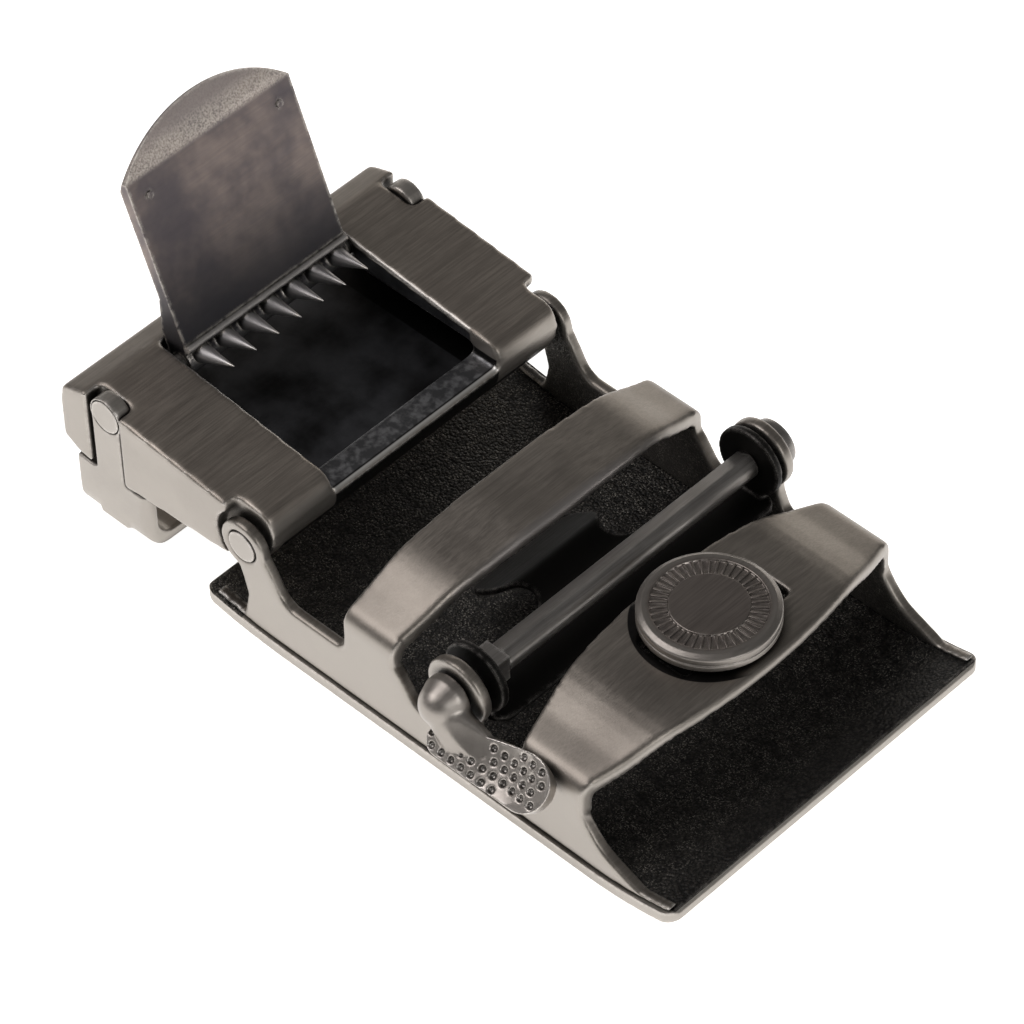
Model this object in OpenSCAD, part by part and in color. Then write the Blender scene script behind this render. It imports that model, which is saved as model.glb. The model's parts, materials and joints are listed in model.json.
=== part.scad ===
// Ratchet belt buckle, lying on its face with the mechanism upwards.
// X runs along the strap, Y across it and Z up. The origin is the centre of the flat face.

/* [Face plate] */
// Length of the face plate
plate_l = 56.7; // [54:0.1:64]
// Width of the face plate
plate_w = 40; // [36:0.5:46]
// Thickness of the face plate
plate_t = 1.2; // [0.8:0.1:1.6]
// Corner radius of the face plate, seen from above
plate_corner = 1.4; // [0.6:0.1:3]
// Length of each bent end of the face plate
curl_l = 10; // [7:0.5:12]
// Height that the left end is bent up
left_rise = 0.95; // [0.2:0.05:1.2]
// Height that the right end is bent up
right_rise = 1.4; // [0.8:0.05:1.9]
// Width of the bevel along each bent end
rim_bevel = 0.35; // [0.1:0.05:0.5]

/* [Side walls] */
// Thickness of the side walls
wall_t = 1.25; // [0.9:0.05:1.8]
// Margin from the plate's edge to the outside of a wall
wall_inset = 0.25; // [0.2:0.05:1]
// Height of the low stretches of the walls above the plate
valley_h = 5.3; // [4.4:0.1:5.6]
// Thickness of the foot strips on the plate
strip_h = 0.35; // [0.2:0.05:0.6]
// Distance from the plate's right end to the foot of the walls
foot_in = 3.6; // [2.5:0.1:5]

/* [Ears] */
// Distance from the plate's left end to the ear pins
ear_in = 5.35; // [4.8:0.1:7]
// Height of the ear pins above the plate
ear_h = 9.5; // [8.8:0.1:10.5]
// Radius of the round ears
ear_r = 2.65; // [2.3:0.1:3]
// Diameter of the ear pins
ear_pin_d = 2; // [1.6:0.1:2.4]
// Diameter of the ear pin heads
ear_head_d = 3.2; // [2.8:0.1:3.8]

/* [Middle bridge] */
// Distance from the plate's left end to the middle bridge
arch_in = 17.75; // [16:0.25:19]
// Width of the middle bridge where it meets the walls
arch_w = 6.2; // [5:0.1:7]
// Extra width of the middle bridge at its centre
arch_bow = 1.8; // [0.8:0.1:2.6]
// Height of the top of the middle bridge above the plate
arch_h = 13.65; // [12.6:0.1:15]
// Thickness of both bridges
bridge_t = 1.25; // [0.9:0.05:1.6]

/* [Axle] */
// Distance from the plate's left end to the axle
axle_in = 31.45; // [31:0.05:32.4]
// Height of the axle above the plate
axle_h = 10.25; // [9.6:0.05:11]
// Radius of the round lugs that hold the axle
lug_r = 3.4; // [3:0.1:3.8]
// Diameter of the axle in the lugs
axle_d = 2; // [1.6:0.1:2.4]
// Diameter of the axle between the pawl's cheeks
shaft_d = 2.7; // [2.2:0.1:3]
// Radius of the pawl's round cheeks
cheek_r = 3.5; // [3.2:0.1:4.2]
// Thickness of the pawl's sheet
pawl_t = 0.8; // [0.6:0.05:1]
// Drop from the axle to the pawl's plate
pawl_drop = 3.1; // [2.6:0.1:3.4]
// Reach of the pawl's hooked end in front of the axle
tongue_l = 12.2; // [11:0.1:13.2]
// Width of the pawl's hooked end
tongue_w = 13; // [11:0.2:16]
// Width of the pawl's waist
waist_w = 8; // [6:0.2:9.6]
// Offset of the pawl towards the far side, from its side play
pawl_shift = 0.3; // [0:0.05:0.4]

/* [End bridge] */
// Distance from the plate's left end to the centre of the button
button_in = 42.65; // [42.2:0.1:43.6]
// Height of the top of the end bridge above the plate
end_h = 11.85; // [11.2:0.05:12.8]
// Width of the end bridge along the strap at its centre
end_w = 13.6; // [13:0.1:15]
// Distance from the button's centre to the middle of the end bridge
end_shift = 0.3; // [0:0.05:0.9]
// Narrowing of the end bridge's left edge towards the walls
end_bow_left = 2.8; // [2:0.1:3.6]
// Narrowing of the end bridge's right edge towards the walls
end_bow_right = 3.8; // [3:0.1:4.4]

/* [Button] */
// Radius of the button cap
button_r = 6.35; // [5.8:0.05:6.6]
// Thickness of the button cap
button_t = 1.9; // [1.4:0.05:2.2]
// Gap between the cap and the bridge
button_gap = 0.25; // [0.2:0.05:0.6]
// Length of the slot under the button, across the strap
slot_l = 13.2; // [12:0.2:14]
// Offset of the slot from the button towards the far side
slot_shift = 0.75; // [0:0.05:0.9]
// Width of the slot under the button
slot_w = 5.4; // [4.6:0.1:6]
// Number of ribs on the cap
rib_count = 42; // [24:1:48]

/* [Thumb lever] */
// Radius of the lever's hub
hub_r = 2.65; // [2.4:0.05:3]
// Distance from the axle to the middle of the thumb pad
lever_reach = 7.6; // [7.2:0.1:9.4]
// Height of the axle above the middle of the thumb pad
pad_low = 1.75; // [1.6:0.1:2.8]
// Half the width of the thumb pad
pad_r = 2.65; // [2.3:0.05:3]
// Pitch of the dimples in the thumb pad
dimple_pitch = 1.15; // [1:0.05:1.5]

/* [Clamp] */
// Distance from the ear pins back to the jaw pins
clamp_reach = 17.4; // [16.4:0.1:19]
// Height of the jaw pins above the ear pins
jaw_rise = 3.8; // [3.5:0.1:4.2]
// Margin from the plate's edge to the side of the clamp
clamp_inset = 0.5; // [0.3:0.05:1.5]
// Length of the cover behind the jaw pins
cover_tail = 5.8; // [5:0.1:7]
// Thickness of the cover's top and of its floor
cover_t = 1.6; // [1.2:0.1:1.8]
// Thickness of the cover's side walls
side_t = 3.2; // [2.8:0.1:4]
// Width of the window in the cover
window_w = 20.9; // [18:0.1:24]
// Height of the hollow for the strap
strap_h = 4.2; // [3.6:0.1:4.4]
// Width of the posts that carry the jaw pins
post_w = 3.6; // [3.2:0.1:4.2]
// Wall of the loop under the cover
loop_t = 1.3; // [1:0.1:1.8]
// Diameter of the jaw pins
jaw_pin_d = 1.8; // [1.5:0.1:2]
// Diameter of the jaw pin heads
jaw_head_d = 3.4; // [3:0.1:3.6]

/* [Jaw] */
// Height of the jaw flap above its hinge axis
flap_l = 22.9; // [20:0.1:26]
// Thickness of the jaw flap
flap_t = 1.25; // [1:0.1:1.6]
// Radius of the flap's round top
flap_top_r = 14.3; // [12.5:0.1:18]
// Bevel along the back of the round top
flap_bevel = 0.6; // [0.2:0.05:0.8]
// Angle that the open flap leans back
flap_lean = 20.6; // [12:0.2:24]
// Number of teeth
tooth_count = 7; // [5:1:8]
// Distance from tooth to tooth
tooth_pitch = 2.8; // [2.2:0.1:3]
// Length of a tooth
tooth_l = 4.2; // [3.4:0.05:4.5]
// Diameter of a tooth at its root
tooth_d = 2.2; // [1.3:0.1:2.2]
// Angle that the teeth point down from the flap's face
tooth_dip = 6; // [0:0.5:12]

/* [Hidden] */
$fn = 96;

// Gap between two pieces that are fixed to each other
seat = 0.03;
// Radial clearance of a turning shaft
run = 0.05;
// Sideways clearance between moving pieces
side = 0.25;
// Reach of a cut past the surface that it opens
past = 1;
// Largest turn between two points of a rounded corner, in degrees
arc_step = 6;

// Depth of the pin heads, and reach of the ear pins into the cover and of the jaw pins into the jaw
head_t = 0.6;
pin_depth = 6;
jaw_depth = 4;

// Places along X
left_x = -plate_l / 2;
right_x = plate_l / 2;
ear_x = left_x + ear_in;
arch_x = left_x + arch_in;
axle_x = left_x + axle_in;
button_x = left_x + button_in;
foot_x = right_x - foot_in;
jaw_x = ear_x - clamp_reach;
tail_x = jaw_x - cover_tail;

// Places along Y, measured from the middle
wall_y = plate_w / 2 - wall_inset;
inner_y = wall_y - wall_t;
clamp_y = plate_w / 2 - clamp_inset;
tongue_y = inner_y - side * 2;

// Heights
deck_z = plate_t;
valley_z = deck_z + valley_h;
ear_z = deck_z + ear_h;
axle_z = deck_z + axle_h;
arch_z = deck_z + arch_h;
end_z = deck_z + end_h;
jaw_z = ear_z + jaw_rise;

// Radius of the bent ends, left and right, from their length and rise
curl_r = [for (rise = [left_rise, right_rise]) (curl_l * curl_l + rise * rise) / (2 * rise)];
curl_x = plate_l / 2 - curl_l;
// Height of the bevel's inner edge at each end
rim_z = [for (r = curl_r) r - sqrt(pow(r - plate_t, 2) - pow(curl_l - rim_bevel, 2))];

// Unit vector along v
function unit(v) = v / norm(v);

// Points of the arc that rounds corner b of the path a, b, c; the third number of b is the radius
function corner(a, b, c) =
    let (
        p = [b[0], b[1]],
        u = unit([a[0], a[1]] - p),
        w = unit([c[0], c[1]] - p),
        half = acos(max(-1, min(1, u * w))) / 2,
        room = 0.48 * min(norm([a[0], a[1]] - p), norm([c[0], c[1]] - p)),
        t = min(b[2] / tan(half), room),
        r = t * tan(half),
        m = p + unit(u + w) * (r / sin(half)),
        s = p + u * t - m,
        e = p + w * t - m,
        a0 = atan2(s[1], s[0]),
        turn = atan2(s[0] * e[1] - s[1] * e[0], s * e),
        n = max(2, ceil(abs(turn) / arc_step))
    )
    [for (i = [0:n]) m + r * [cos(a0 + turn * i / n), sin(a0 + turn * i / n)]];

// Closed path with every corner rounded by its own radius, or left sharp where that is 0
function rounded(p) =
    let (n = len(p))
    [for (i = [0:n - 1])
        each p[i][2] == 0 ? [[p[i][0], p[i][1]]] : corner(p[(i + n - 1) % n], p[i], p[(i + 1) % n])];

// Half a path about the Y axis, completed by its mirror image
function both_sides(p) = concat(p, [for (i = [len(p) - 1:-1:0]) [-p[i][0], p[i][1], p[i][2]]]);

// Solid with outline p in the XZ plane, from y0 to y1
module along_y(y0, y1) {
    translate([0, y1, 0])
        rotate([90, 0, 0])
            linear_extrude(y1 - y0)
                children();
}

// Solid with its outline in the YZ plane, from x0 to x1
module along_x(x0, x1) {
    translate([x0, 0, 0])
        rotate([90, 0, 90])
            linear_extrude(x1 - x0)
                children();
}

// Cylinder about an axis along Y
module round_y(x, z, r, y0, y1) {
    translate([x, y1, z])
        rotate([90, 0, 0])
            cylinder(r = r, h = y1 - y0);
}

// Both sides of the buckle
module near_and_far() {
    children();
    mirror([0, 1, 0])
        children();
}

// Everything that lies a height d or more above the face plate, seen from the side
module above_plate(d) {
    reach = 4 * arch_z;
    intersection() {
        union() {
            translate([-curl_x, plate_t + d])
                square([2 * curl_x, reach]);
            for (s = [0, 1])
                translate([(2 * s - 1) * curl_x, curl_r[s]])
                    circle(r = curl_r[s] - plate_t - d, $fn = 240);
        }
        translate([-plate_l, 0])
            square([2 * plate_l, reach / 2]);
    }
}

// Side view of the face plate: flat in the middle, with both ends bent up
module plate_side() {
    translate([-curl_x, 0])
        square([2 * curl_x, plate_t]);
    for (s = [0, 1])
        mirror([1 - s, 0])
            intersection() {
                translate([curl_x, curl_r[s]])
                    difference() {
                        circle(r = curl_r[s], $fn = 240);
                        circle(r = curl_r[s] - plate_t, $fn = 240);
                    }
                translate([curl_x, 0])
                    square([curl_l, right_rise + 2 * plate_t]);
            }
}

// Rectangle with round corners about the origin
module soft_rect(l, w, r) {
    polygon(rounded([[-l / 2, -w / 2, r], [l / 2, -w / 2, r], [l / 2, w / 2, r], [-l / 2, w / 2, r]]));
}

module face_plate() {
    color("dimgray")
        difference() {
            intersection() {
                along_y(-plate_w / 2, plate_w / 2)
                    plate_side();
                linear_extrude(right_rise + 2 * plate_t)
                    soft_rect(plate_l, plate_w, plate_corner);
            }
            along_y(-plate_w, plate_w)
                for (s = [0, 1])
                    mirror([1 - s, 0])
                        polygon([[right_x - rim_bevel, rim_z[s] + past], [right_x - rim_bevel, rim_z[s]],
                            [right_x + past, rim_z[s] - rim_bevel - past], [right_x + past, rim_z[s] + past]]);
        }
}

// Heights where the bridges meet the walls
arch_wall_z = deck_z + 0.725 * arch_h;
end_left_z = deck_z + 0.77 * end_h;
end_right_z = deck_z + 0.64 * end_h;

// Middle of the end bridge, its two corners at the walls, and where its shoulders start
end_x = button_x + end_shift;
end_left = end_x - end_w / 2 + end_bow_left;
end_right = end_x + end_w / 2 - end_bow_right;
end_shoulder = 0.6 * wall_y;
// Radius between the bridges and the outside of the walls
edge_r = 2;

// Side view of a wall without its round heads; x is counted from each feature, z from the plate
wall_path = rounded([
    [ear_x - 0.3 * ear_r, 0, 0],
    [ear_x + 0.12 * ear_r, deck_z + 0.4 * ear_h, 3],
    [ear_x - 0.2 * ear_r, ear_z - ear_r, 2],
    [ear_x - 0.6 * ear_r, ear_z, 0],
    [ear_x + 0.98 * ear_r, ear_z, 0],
    [ear_x + 1.35 * ear_r, ear_z - 0.6 * ear_r, 2],
    [ear_x + 1.7 * ear_r, valley_z + 0.9, 1.5],
    [ear_x + 2.1 * ear_r, valley_z, 2],
    [arch_x - 0.25, valley_z, 1],
    [arch_x + 0.15, arch_wall_z - edge_r, 0.3],
    [arch_x + arch_w - 0.35, arch_wall_z - edge_r, 0.3],
    [arch_x + arch_w + 0.55, valley_z + 1.6, 5],
    [arch_x + arch_w + 2.3, valley_z - 1, 2.5],
    [axle_x - 0.95 * lug_r, valley_z - 1, 1.2],
    [axle_x - 0.68 * lug_r, valley_z + 1.9, 1.5],
    [axle_x - 0.72 * lug_r, axle_z, 0],
    [axle_x + 0.72 * lug_r, axle_z, 0],
    [axle_x + 0.68 * lug_r, valley_z + 1.9, 1.5],
    [axle_x + 0.95 * lug_r, valley_z - 0.5, 1.2],
    [end_left - 0.4, valley_z - 0.5, 1.2],
    [end_left + 0.25, end_right_z - 0.3 * edge_r, 0.3],
    [end_right - 0.25, end_right_z - 0.3 * edge_r, 0.3],
    [button_x + 0.66 * slot_w, deck_z + 0.45 * end_h, 4],
    [button_x + 1.02 * slot_w, deck_z + 0.24 * end_h, 5],
    [foot_x - 0.2, deck_z + strip_h + 0.5, 3],
    [foot_x, 0, 0]
]);

// One side wall, on the near side
module wall() {
    difference() {
        intersection() {
            union() {
                along_y(-wall_y, -inner_y)
                    polygon(wall_path);
                round_y(ear_x, ear_z, ear_r, -wall_y, -inner_y);
                round_y(axle_x, axle_z, lug_r, -wall_y, -inner_y);
            }
            along_y(-wall_y, -inner_y)
                above_plate(seat);
        }
        round_y(ear_x, ear_z, ear_pin_d / 2 + seat, -wall_y - past, past - inner_y);
        round_y(ear_x, ear_z, ear_head_d / 2 + run, -wall_y - past, head_t - wall_y);
        round_y(axle_x, axle_z, axle_d / 2 + run, -wall_y - past, past - inner_y);
    }
}

// Thin strip of the casting along the foot of a wall, on the near side
module foot_strip() {
    intersection() {
        along_y(-wall_y, -inner_y)
            difference() {
                above_plate(seat);
                above_plate(seat + strip_h);
            }
        translate([left_x + plate_corner, -plate_w, 0])
            cube([plate_l - 1.4 * plate_corner, 2 * plate_w, valley_z]);
    }
}

// Section across a bridge: it rises from the walls over two soft shoulders to a slightly round top
function bridge_path(top, side_z, shoulder, crown, y, r, drop) =
    both_sides([
        [y, side_z - drop, 0],
        [y, side_z, r],
        [shoulder + 0.5 * (y - shoulder), side_z + 0.36 * (top - side_z), 6],
        [shoulder, top - crown, 14],
        [0.34 * shoulder, top - 0.1 * crown, 20]
    ]);

module bridge_section(top, side_z, shoulder, crown) {
    difference() {
        polygon(rounded(bridge_path(top, side_z, shoulder, crown, wall_y, edge_r, edge_r + wall_t)));
        polygon(rounded(bridge_path(top - bridge_t, side_z - bridge_t, shoulder - 0.3 * bridge_t, crown,
            inner_y, edge_r / 2, edge_r + 3 * wall_t)));
    }
}

// Circle segment that stands out by bow over the chord from -y to y at x
module bowed_edge(x, y, bow, s) {
    r = (y * y + bow * bow) / (2 * bow);
    translate([x + s * (bow - r), 0])
        circle(r = r, $fn = 240);
}

module middle_bridge() {
    intersection() {
        along_x(arch_x, arch_x + arch_w + arch_bow)
            bridge_section(arch_z, arch_wall_z, 0.64 * wall_y, 0.06 * arch_h);
        linear_extrude(arch_z + past)
            bowed_edge(arch_x + arch_w - 0.2, wall_y, arch_bow, 1);
    }
}

module end_bridge() {
    difference() {
        intersection() {
            along_x(end_x - end_w / 2, end_x + end_w / 2)
                bridge_section(end_z, end_left_z, end_shoulder, 0.03 * end_h);
            linear_extrude(arch_z + past)
                intersection() {
                    bowed_edge(end_right, wall_y, end_bow_right, 1);
                    bowed_edge(end_left, wall_y, end_bow_left, -1);
                }
        }
        translate([button_x - slot_w / 2, slot_shift - slot_l / 2, 0])
            cube([slot_w, slot_l, arch_z]);
    }
}

module back_frame() {
    color("slategray")
        union() {
            near_and_far() {
                wall();
                foot_strip();
            }
            middle_bridge();
            end_bridge();
        }
}

// Underside and top of the button cap
cap_z = end_z + button_gap;
cap_top = cap_z + button_t;
// Ring of ribs on the cap
rib_r0 = 0.575 * button_r;
rib_r1 = 0.805 * button_r;
rib_depth = 0.18;
rib_w = 0.045 * rib_r1;
// Slope on both sides of the sunk ring
ring_slope = 0.12;
// Foot under the bridge that keeps the cap in its slot
foot_t = 0.7;
foot_lip = 0.7;

// Cap turned about its own axis: a flange, a rounded rim and a sunk ring
module cap_body() {
    rotate_extrude()
        polygon(rounded([
            [0, 0, 0],
            [0.95 * button_r, 0, 0.15],
            [button_r, 0.12 * button_t, 0.2],
            [button_r, 0.4 * button_t, 0.15],
            [0.975 * button_r, 0.47 * button_t, 0.1],
            [button_r, 0.54 * button_t, 0.15],
            [button_r, 0.84 * button_t, 0.3],
            [0.92 * button_r, button_t, 0.4],
            [rib_r1 + ring_slope, button_t, 0],
            [rib_r1, button_t - rib_depth, 0],
            [rib_r0, button_t - rib_depth, 0],
            [rib_r0 - ring_slope, button_t, 0],
            [0, button_t, 0]
        ]));
}

module button_cap() {
    stem_l = slot_l - 8 * side;
    stem_w = slot_w - 2 * side;
    foot_top = end_z - bridge_t - 2 * side;
    color("gray")
        translate([button_x, 0, 0]) {
            translate([0, 0, cap_z])
                cap_body();
            for (i = [0:rib_count - 1])
                rotate([0, 0, 360 * (i + 0.5) / rib_count])
                    translate([rib_r0 - ring_slope / 2, -rib_w / 2, cap_top - 1.3 * rib_depth])
                        cube([rib_r1 - rib_r0 + ring_slope, rib_w, rib_depth]);
            translate([0, slot_shift, 0]) {
                translate([-stem_w / 2, -stem_l / 2, foot_top - foot_t])
                    cube([stem_w, stem_l, cap_z - foot_top + foot_t + seat]);
                translate([-slot_w / 2 - foot_lip, -stem_l / 2, foot_top - foot_t])
                    cube([slot_w + 2 * foot_lip, stem_l, foot_t]);
            }
        }
}

// Top of the pawl's plate
pawl_z = axle_z - pawl_drop;

// Upper line of the pawl seen from the side: a flat plate whose front end hooks down to the strap
pawl_path = [
    [axle_x + 0.9 * cheek_r, pawl_z - 0.3],
    [axle_x - 0.6 * tongue_l, pawl_z],
    [axle_x - tongue_l, pawl_z - 0.32 * tongue_l]
];

// Outline of a sheet of thickness t under the line path
function sheet(path, t) =
    concat([for (p = path) [p[0], p[1], 1.6]], [for (i = [len(path) - 1:-1:0]) [path[i][0], path[i][1] - t, 1]]);

// Half of the pawl seen from above: broad behind, a waist, then the wide hooked end
function pawl_half(y) = [
    [axle_x + 0.9 * cheek_r, y, 1.6],
    [axle_x - 0.5 * cheek_r, y, 0.8],
    [axle_x - 0.8 * cheek_r, 0.5 * waist_w + 3, 3],
    [axle_x - 1.6 * cheek_r, 0.5 * waist_w, 2.4],
    [axle_x - 2.4 * cheek_r, 0.5 * tongue_w, 2.4],
    [axle_x - tongue_l, 0.5 * tongue_w, 2]
];

module pawl_plan() {
    half = pawl_half(tongue_y - pawl_shift);
    polygon(rounded(concat(half, [for (i = [len(half) - 1:-1:0]) [half[i][0], -half[i][1], half[i][2]]])));
}

module pawl_plate() {
    cheek_y = tongue_y - pawl_shift;
    color("dimgray")
        translate([0, pawl_shift, 0])
            difference() {
                union() {
                    intersection() {
                        along_y(-cheek_y, cheek_y)
                            polygon(rounded(sheet(pawl_path, pawl_t)));
                        linear_extrude(arch_z)
                            pawl_plan();
                    }
                    near_and_far() {
                        round_y(axle_x, axle_z, cheek_r, -cheek_y, pawl_t - cheek_y);
                        translate([axle_x - 0.5 * cheek_r, -cheek_y, pawl_z - pawl_t])
                            cube([cheek_r, pawl_t, cheek_r]);
                    }
                }
                round_y(axle_x, axle_z, axle_d / 2 + seat, -plate_w, plate_w);
            }
}

// Collar of the axle, its two ends outside the walls, and the flat along its upper side
collar_w = 2.8;
collar_l = 2.2;
axle_end = 1.2;
head_r = 1.17 * axle_d;
head_w = 1;
flat_turn = 21;
flat_depth = 0.09 * shaft_d;

// Axle with a square collar beside the near cheek and a rivet head on the far side
module pawl_shaft() {
    cheek_in = tongue_y - pawl_t - seat;
    near_y = 2 * pawl_shift - cheek_in;
    color("gray") {
        round_y(axle_x, axle_z, axle_d / 2, -wall_y - axle_end, wall_y + side + head_w / 2);
        round_y(axle_x, axle_z, head_r, wall_y + side, wall_y + side + head_w);
        difference() {
            round_y(axle_x, axle_z, shaft_d / 2, near_y, cheek_in);
            translate([axle_x, 0, axle_z])
                rotate([0, -flat_turn, 0])
                    translate([-shaft_d, -wall_y, shaft_d / 2 - flat_depth])
                        cube([2 * shaft_d, 2 * wall_y, shaft_d]);
        }
        translate([axle_x - collar_w / 2, near_y, axle_z - collar_w / 2])
            cube([collar_w, collar_l, collar_w]);
    }
}

// Thumb lever outside the near wall: a domed hub, a neck and a dished thumb pad with dimples
hub_y = -wall_y - side;
pad_y = hub_y - 0.72 * pad_r;
pad_z = axle_z - pad_low;
pad_tilt = 48;
pad_slope = 3;
pad_t = 1.3;
// The pad narrows from its round end, pad_front from its middle, to its small end under the hub
pad_front = 0.9 * pad_r;
pad_back = 2.35 * pad_r;
pad_sink = 0.5 * pad_r;
pad_taper = 0.4;
dish_r = 3.6 * pad_r;
dish_depth = 0.2 * pad_r;
dimple_r = 0.33 * dimple_pitch;

// Moves its children to the pad: X along the pad, Z out of its face
module at_pad() {
    translate([axle_x + lever_reach, pad_y, pad_z])
        rotate([pad_tilt, pad_slope, 0])
            children();
}

// Flat outline of the pad with height h
module pad_blank(h) {
    hull() {
        translate([pad_front, 0, 0])
            cylinder(r = pad_r, h = h, $fn = 44);
        translate([-pad_back, -pad_sink, 0])
            cylinder(r = (1 - pad_taper) * pad_r, h = h, $fn = 32);
    }
}

// Share of the pad's narrowing at x, and how far a point is from its middle line
function taper(x) = max(0, min(1, (pad_front - x) / (pad_front + pad_back)));
function off_middle(x, y) = norm([max(0, x - pad_front, -x - pad_back), y + pad_sink * taper(x)]);

// Dimples in rows set half a pitch apart, inside the pad's outline
module dimples() {
    rows = ceil(pad_r / dimple_pitch);
    for (j = [-rows:rows])
        for (i = [-4 * rows:2 * rows]) {
            x = (i + 0.5 * (j % 2)) * dimple_pitch;
            y = (j - 0.25) * 0.87 * dimple_pitch;
            bowl = dish_r - dish_depth - sqrt(dish_r * dish_r - x * x - y * y);
            if (off_middle(x, y) < 0.8 * pad_r * (1 - pad_taper * taper(x)))
                translate([x, y, min(0, bowl) - dimple_r])
                    cylinder(r1 = 0.6 * dimple_r, r2 = 1.1 * dimple_r, h = 1.3 * dimple_r, $fn = 14);
        }
}

module thumb_lever() {
    difference() {
        color("darkgray")
            union() {
                hull() {
                    round_y(axle_x, axle_z, 0.9 * hub_r, hub_y - 0.34 * hub_r, hub_y);
                    translate([axle_x, hub_y - 0.5 * hub_r, axle_z])
                        sphere(r = 0.78 * hub_r, $fn = 40);
                }
                hull() {
                    translate([axle_x + 0.25 * hub_r, hub_y - 0.5 * hub_r, axle_z - 0.3 * hub_r])
                        sphere(r = 0.7 * hub_r, $fn = 32);
                    at_pad() {
                        translate([-0.5 * pad_back, 0.1 * pad_r, -pad_t])
                            cylinder(r = 0.42 * pad_r, h = pad_t, $fn = 32);
                        translate([-0.9 * pad_back, -0.5 * pad_sink, -pad_t])
                            cylinder(r = 0.45 * pad_r, h = pad_t, $fn = 32);
                    }
                }
                at_pad()
                    difference() {
                        translate([0, 0, -pad_t])
                            pad_blank(pad_t);
                        dimples();
                    }
            }
        at_pad()
            translate([0, 0, dish_r - dish_depth])
                sphere(r = dish_r, $fn = 72);
        round_y(axle_x, axle_z, axle_d / 2 + seat, -wall_y - axle_end - seat, past - wall_y);
        translate([axle_x - 4 * hub_r, hub_y, 0])
            cube([12 * hub_r, wall_y, arch_z]);
    }
}

// Cover: rise above the jaw pins, drop below the ear pins, and reach and rise of its nose from the ear pins
cover_rise = 1.6;
cover_drop = 3.6;
nose_l = 2.4;
nose_h = 3.4;
cover_top = jaw_z + cover_rise;
cover_low = ear_z - cover_drop;
front_x = ear_x + nose_l;

// Side view of the cover: back block, long sloping top and rounded front
cover_path = rounded([
    [tail_x, cover_low + 0.42 * cover_drop, 0.6],
    [tail_x, jaw_z - cover_rise, 1],
    [tail_x + 0.05 * cover_tail, jaw_z + 0.25 * cover_rise, 0.5],
    [jaw_x - 0.38 * cover_tail, cover_top, 3],
    [front_x - 0.25 * nose_l, ear_z + nose_h, 2],
    [front_x, ear_z + 0.47 * nose_h, 2],
    [front_x - 0.04 * nose_l, ear_z, 3],
    [front_x - 0.62 * nose_l, ear_z - 0.72 * nose_h, 0.6],
    [jaw_x + 0.33 * cover_tail, cover_low, 0.3],
    [tail_x + 0.36 * cover_tail, cover_low + 0.11 * cover_drop, 0.5]
]);

// Top of the cover's floor, and the wall left in front of the hollow and of the window
floor_z = cover_low + 0.9 * cover_t;
front_wall = 1.2;
window_wall = 1.4;
// Radius of the recess for the jaw's hinge bar
hinge_room = 2.6;
// Step in front of the window: height above the ear pins and distance behind them
step_h = 0.8 * cover_t;
step_in = 1.5;
// Room around the ears and behind the posts
ear_room = 0.7;
ear_slot = 2;
post_room = 0.5;
// Depth of the posts from the side of the cover
post_depth = 1.9;
// Play of the loop in the cover, on every side
loop_play = 0.15;

module clamp_cover() {
    in_y = clamp_y - side_t;
    ear_gap_y = inner_y - 2 * side;
    post_y = clamp_y - post_depth;
    out_y = -clamp_y - past;
    high = cover_top + past;
    color("slategray")
        difference() {
            along_y(-clamp_y, clamp_y)
                polygon(cover_path);
            // Hollow for the end of the strap, open at the back
            translate([tail_x - past, -in_y, floor_z])
                cube([clamp_reach + cover_tail - front_wall + past, 2 * in_y, strap_h]);
            // Window for the jaw
            translate([jaw_x, -window_w / 2, floor_z])
                cube([clamp_reach - window_wall, window_w, cover_top]);
            round_y(jaw_x, jaw_z, hinge_room, -window_w / 2, window_w / 2);
            translate([ear_x - step_in, -window_w / 2, ear_z + step_h])
                cube([clamp_reach, window_w, cover_top]);
            near_and_far() {
                // Room for the posts
                translate([jaw_x - post_w / 2 - post_room, out_y, 0])
                    cube([post_w + post_room + seat, -out_y - post_y, high]);
                // Room for the ears
                intersection() {
                    translate([ear_x - 2 * ear_slot, out_y, 0])
                        cube([clamp_reach, -out_y - ear_gap_y, high]);
                    union() {
                        round_y(ear_x, ear_z, ear_r + ear_room, out_y, -ear_gap_y);
                        translate([ear_x - ear_slot, out_y, 0])
                            cube([clamp_reach, -out_y - ear_gap_y, high]);
                    }
                }
                round_y(jaw_x, jaw_z, jaw_pin_d / 2 + seat, out_y, 0);
                round_y(ear_x, ear_z, ear_pin_d / 2 + run, out_y, pin_depth - ear_gap_y);
            }
        }
}

// Loop: distance behind the tail's end and in front of the jaw pins
loop_back = 1.3;
loop_front = 4.6;

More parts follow.
